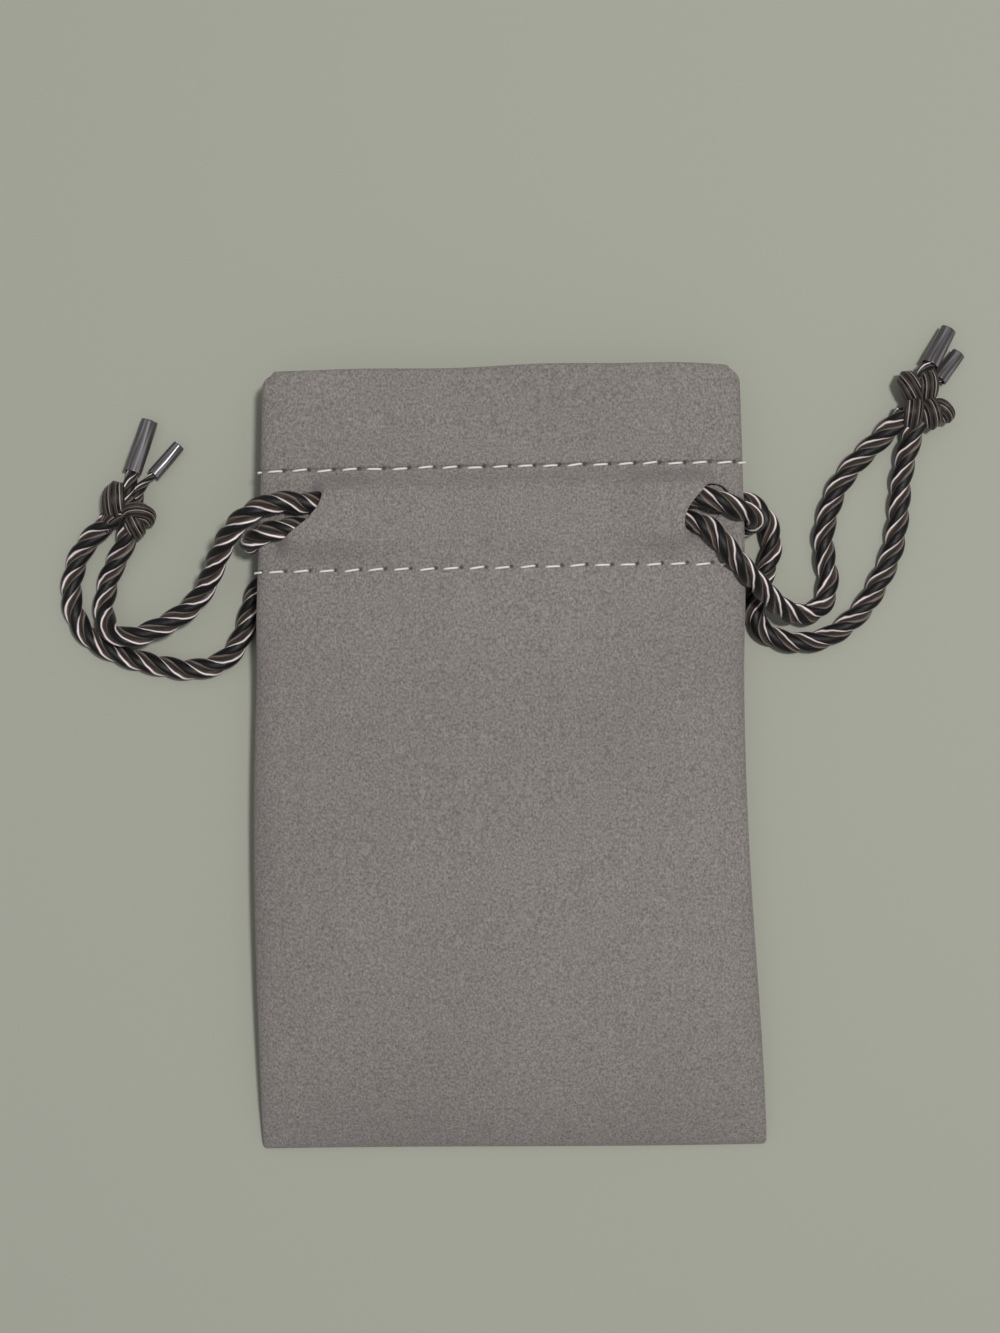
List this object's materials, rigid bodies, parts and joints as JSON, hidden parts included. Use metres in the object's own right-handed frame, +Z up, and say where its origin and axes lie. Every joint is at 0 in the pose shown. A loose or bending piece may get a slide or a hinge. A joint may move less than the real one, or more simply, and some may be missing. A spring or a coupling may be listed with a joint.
{
  "type": "drawstring gift pouch",
  "caption": "Flat suede gift pouch lying on its back, with a stitched channel near the mouth and opposed twisted drawcords that loop out at each side into knots with film-tipped ends.",
  "frame": {"origin": "under the middle of the pouch, on the surface that it lies on", "axes": "+X across the pouch to the viewer's right, +Y towards the mouth, +Z up out of the front"},
  "size_m": [0.1307, 0.1163, 0.0138],
  "materials": {
    "suede": "soft napped mauve-grey suede",
    "cord": "dark brown three-strand twisted satin with pale lines",
    "thread": "off-white sewing thread",
    "tip_film": "clear shrunk film over the cord end, grey and glossy"
  },
  "bodies": {
    "root": {"back_hem": "suede", "back_lower_stitches": "thread", "back_panel": "suede", "back_upper_stitches": "thread", "bottom_seam_thread": "thread", "front_hem": "suede", "front_lower_stitches": "thread", "front_panel": "suede", "front_upper_stitches": "thread", "left_cord_back_leg": "cord", "left_cord_back_run": "cord", "left_cord_front_leg": "cord", "left_cord_front_run": "cord", "left_cord_right_loop": "cord", "left_seam_thread": "thread", "right_cord_back_leg": "cord", "right_cord_back_run": "cord", "right_cord_front_leg": "cord", "right_cord_front_run": "cord", "right_cord_left_loop": "cord", "right_seam_thread": "thread"},
    "front_lip": {"front_lip": "suede"},
    "left_knot": {"left_cord_end_1": "cord", "left_cord_end_2": "cord", "left_end_film_1": "tip_film", "left_end_film_2": "tip_film", "left_knot": "cord"},
    "right_knot": {"right_cord_end_1": "cord", "right_cord_end_2": "cord", "right_end_film_1": "tip_film", "right_end_film_2": "tip_film", "right_knot": "cord"}
  },
  "joints": [
    {"name": "left_drawcord_pull", "type": "slide", "parent": "root", "child": "left_knot", "axis": [-1, 0, 0], "range_m": [0, 0.02], "deforming": ["left_cord_front_leg", "left_cord_back_leg"]},
    {"name": "right_drawcord_pull", "type": "slide", "parent": "root", "child": "right_knot", "axis": [1, 0, 0], "range_m": [0, 0.02], "deforming": ["right_cord_front_leg", "right_cord_back_leg"]},
    {"name": "mouth_lip_lift", "type": "hinge", "parent": "root", "child": "front_lip", "pos_m": [0, 0.0423, 0.0099], "axis": [1, 0, 0], "range_deg": [0, 40]}
  ]
}
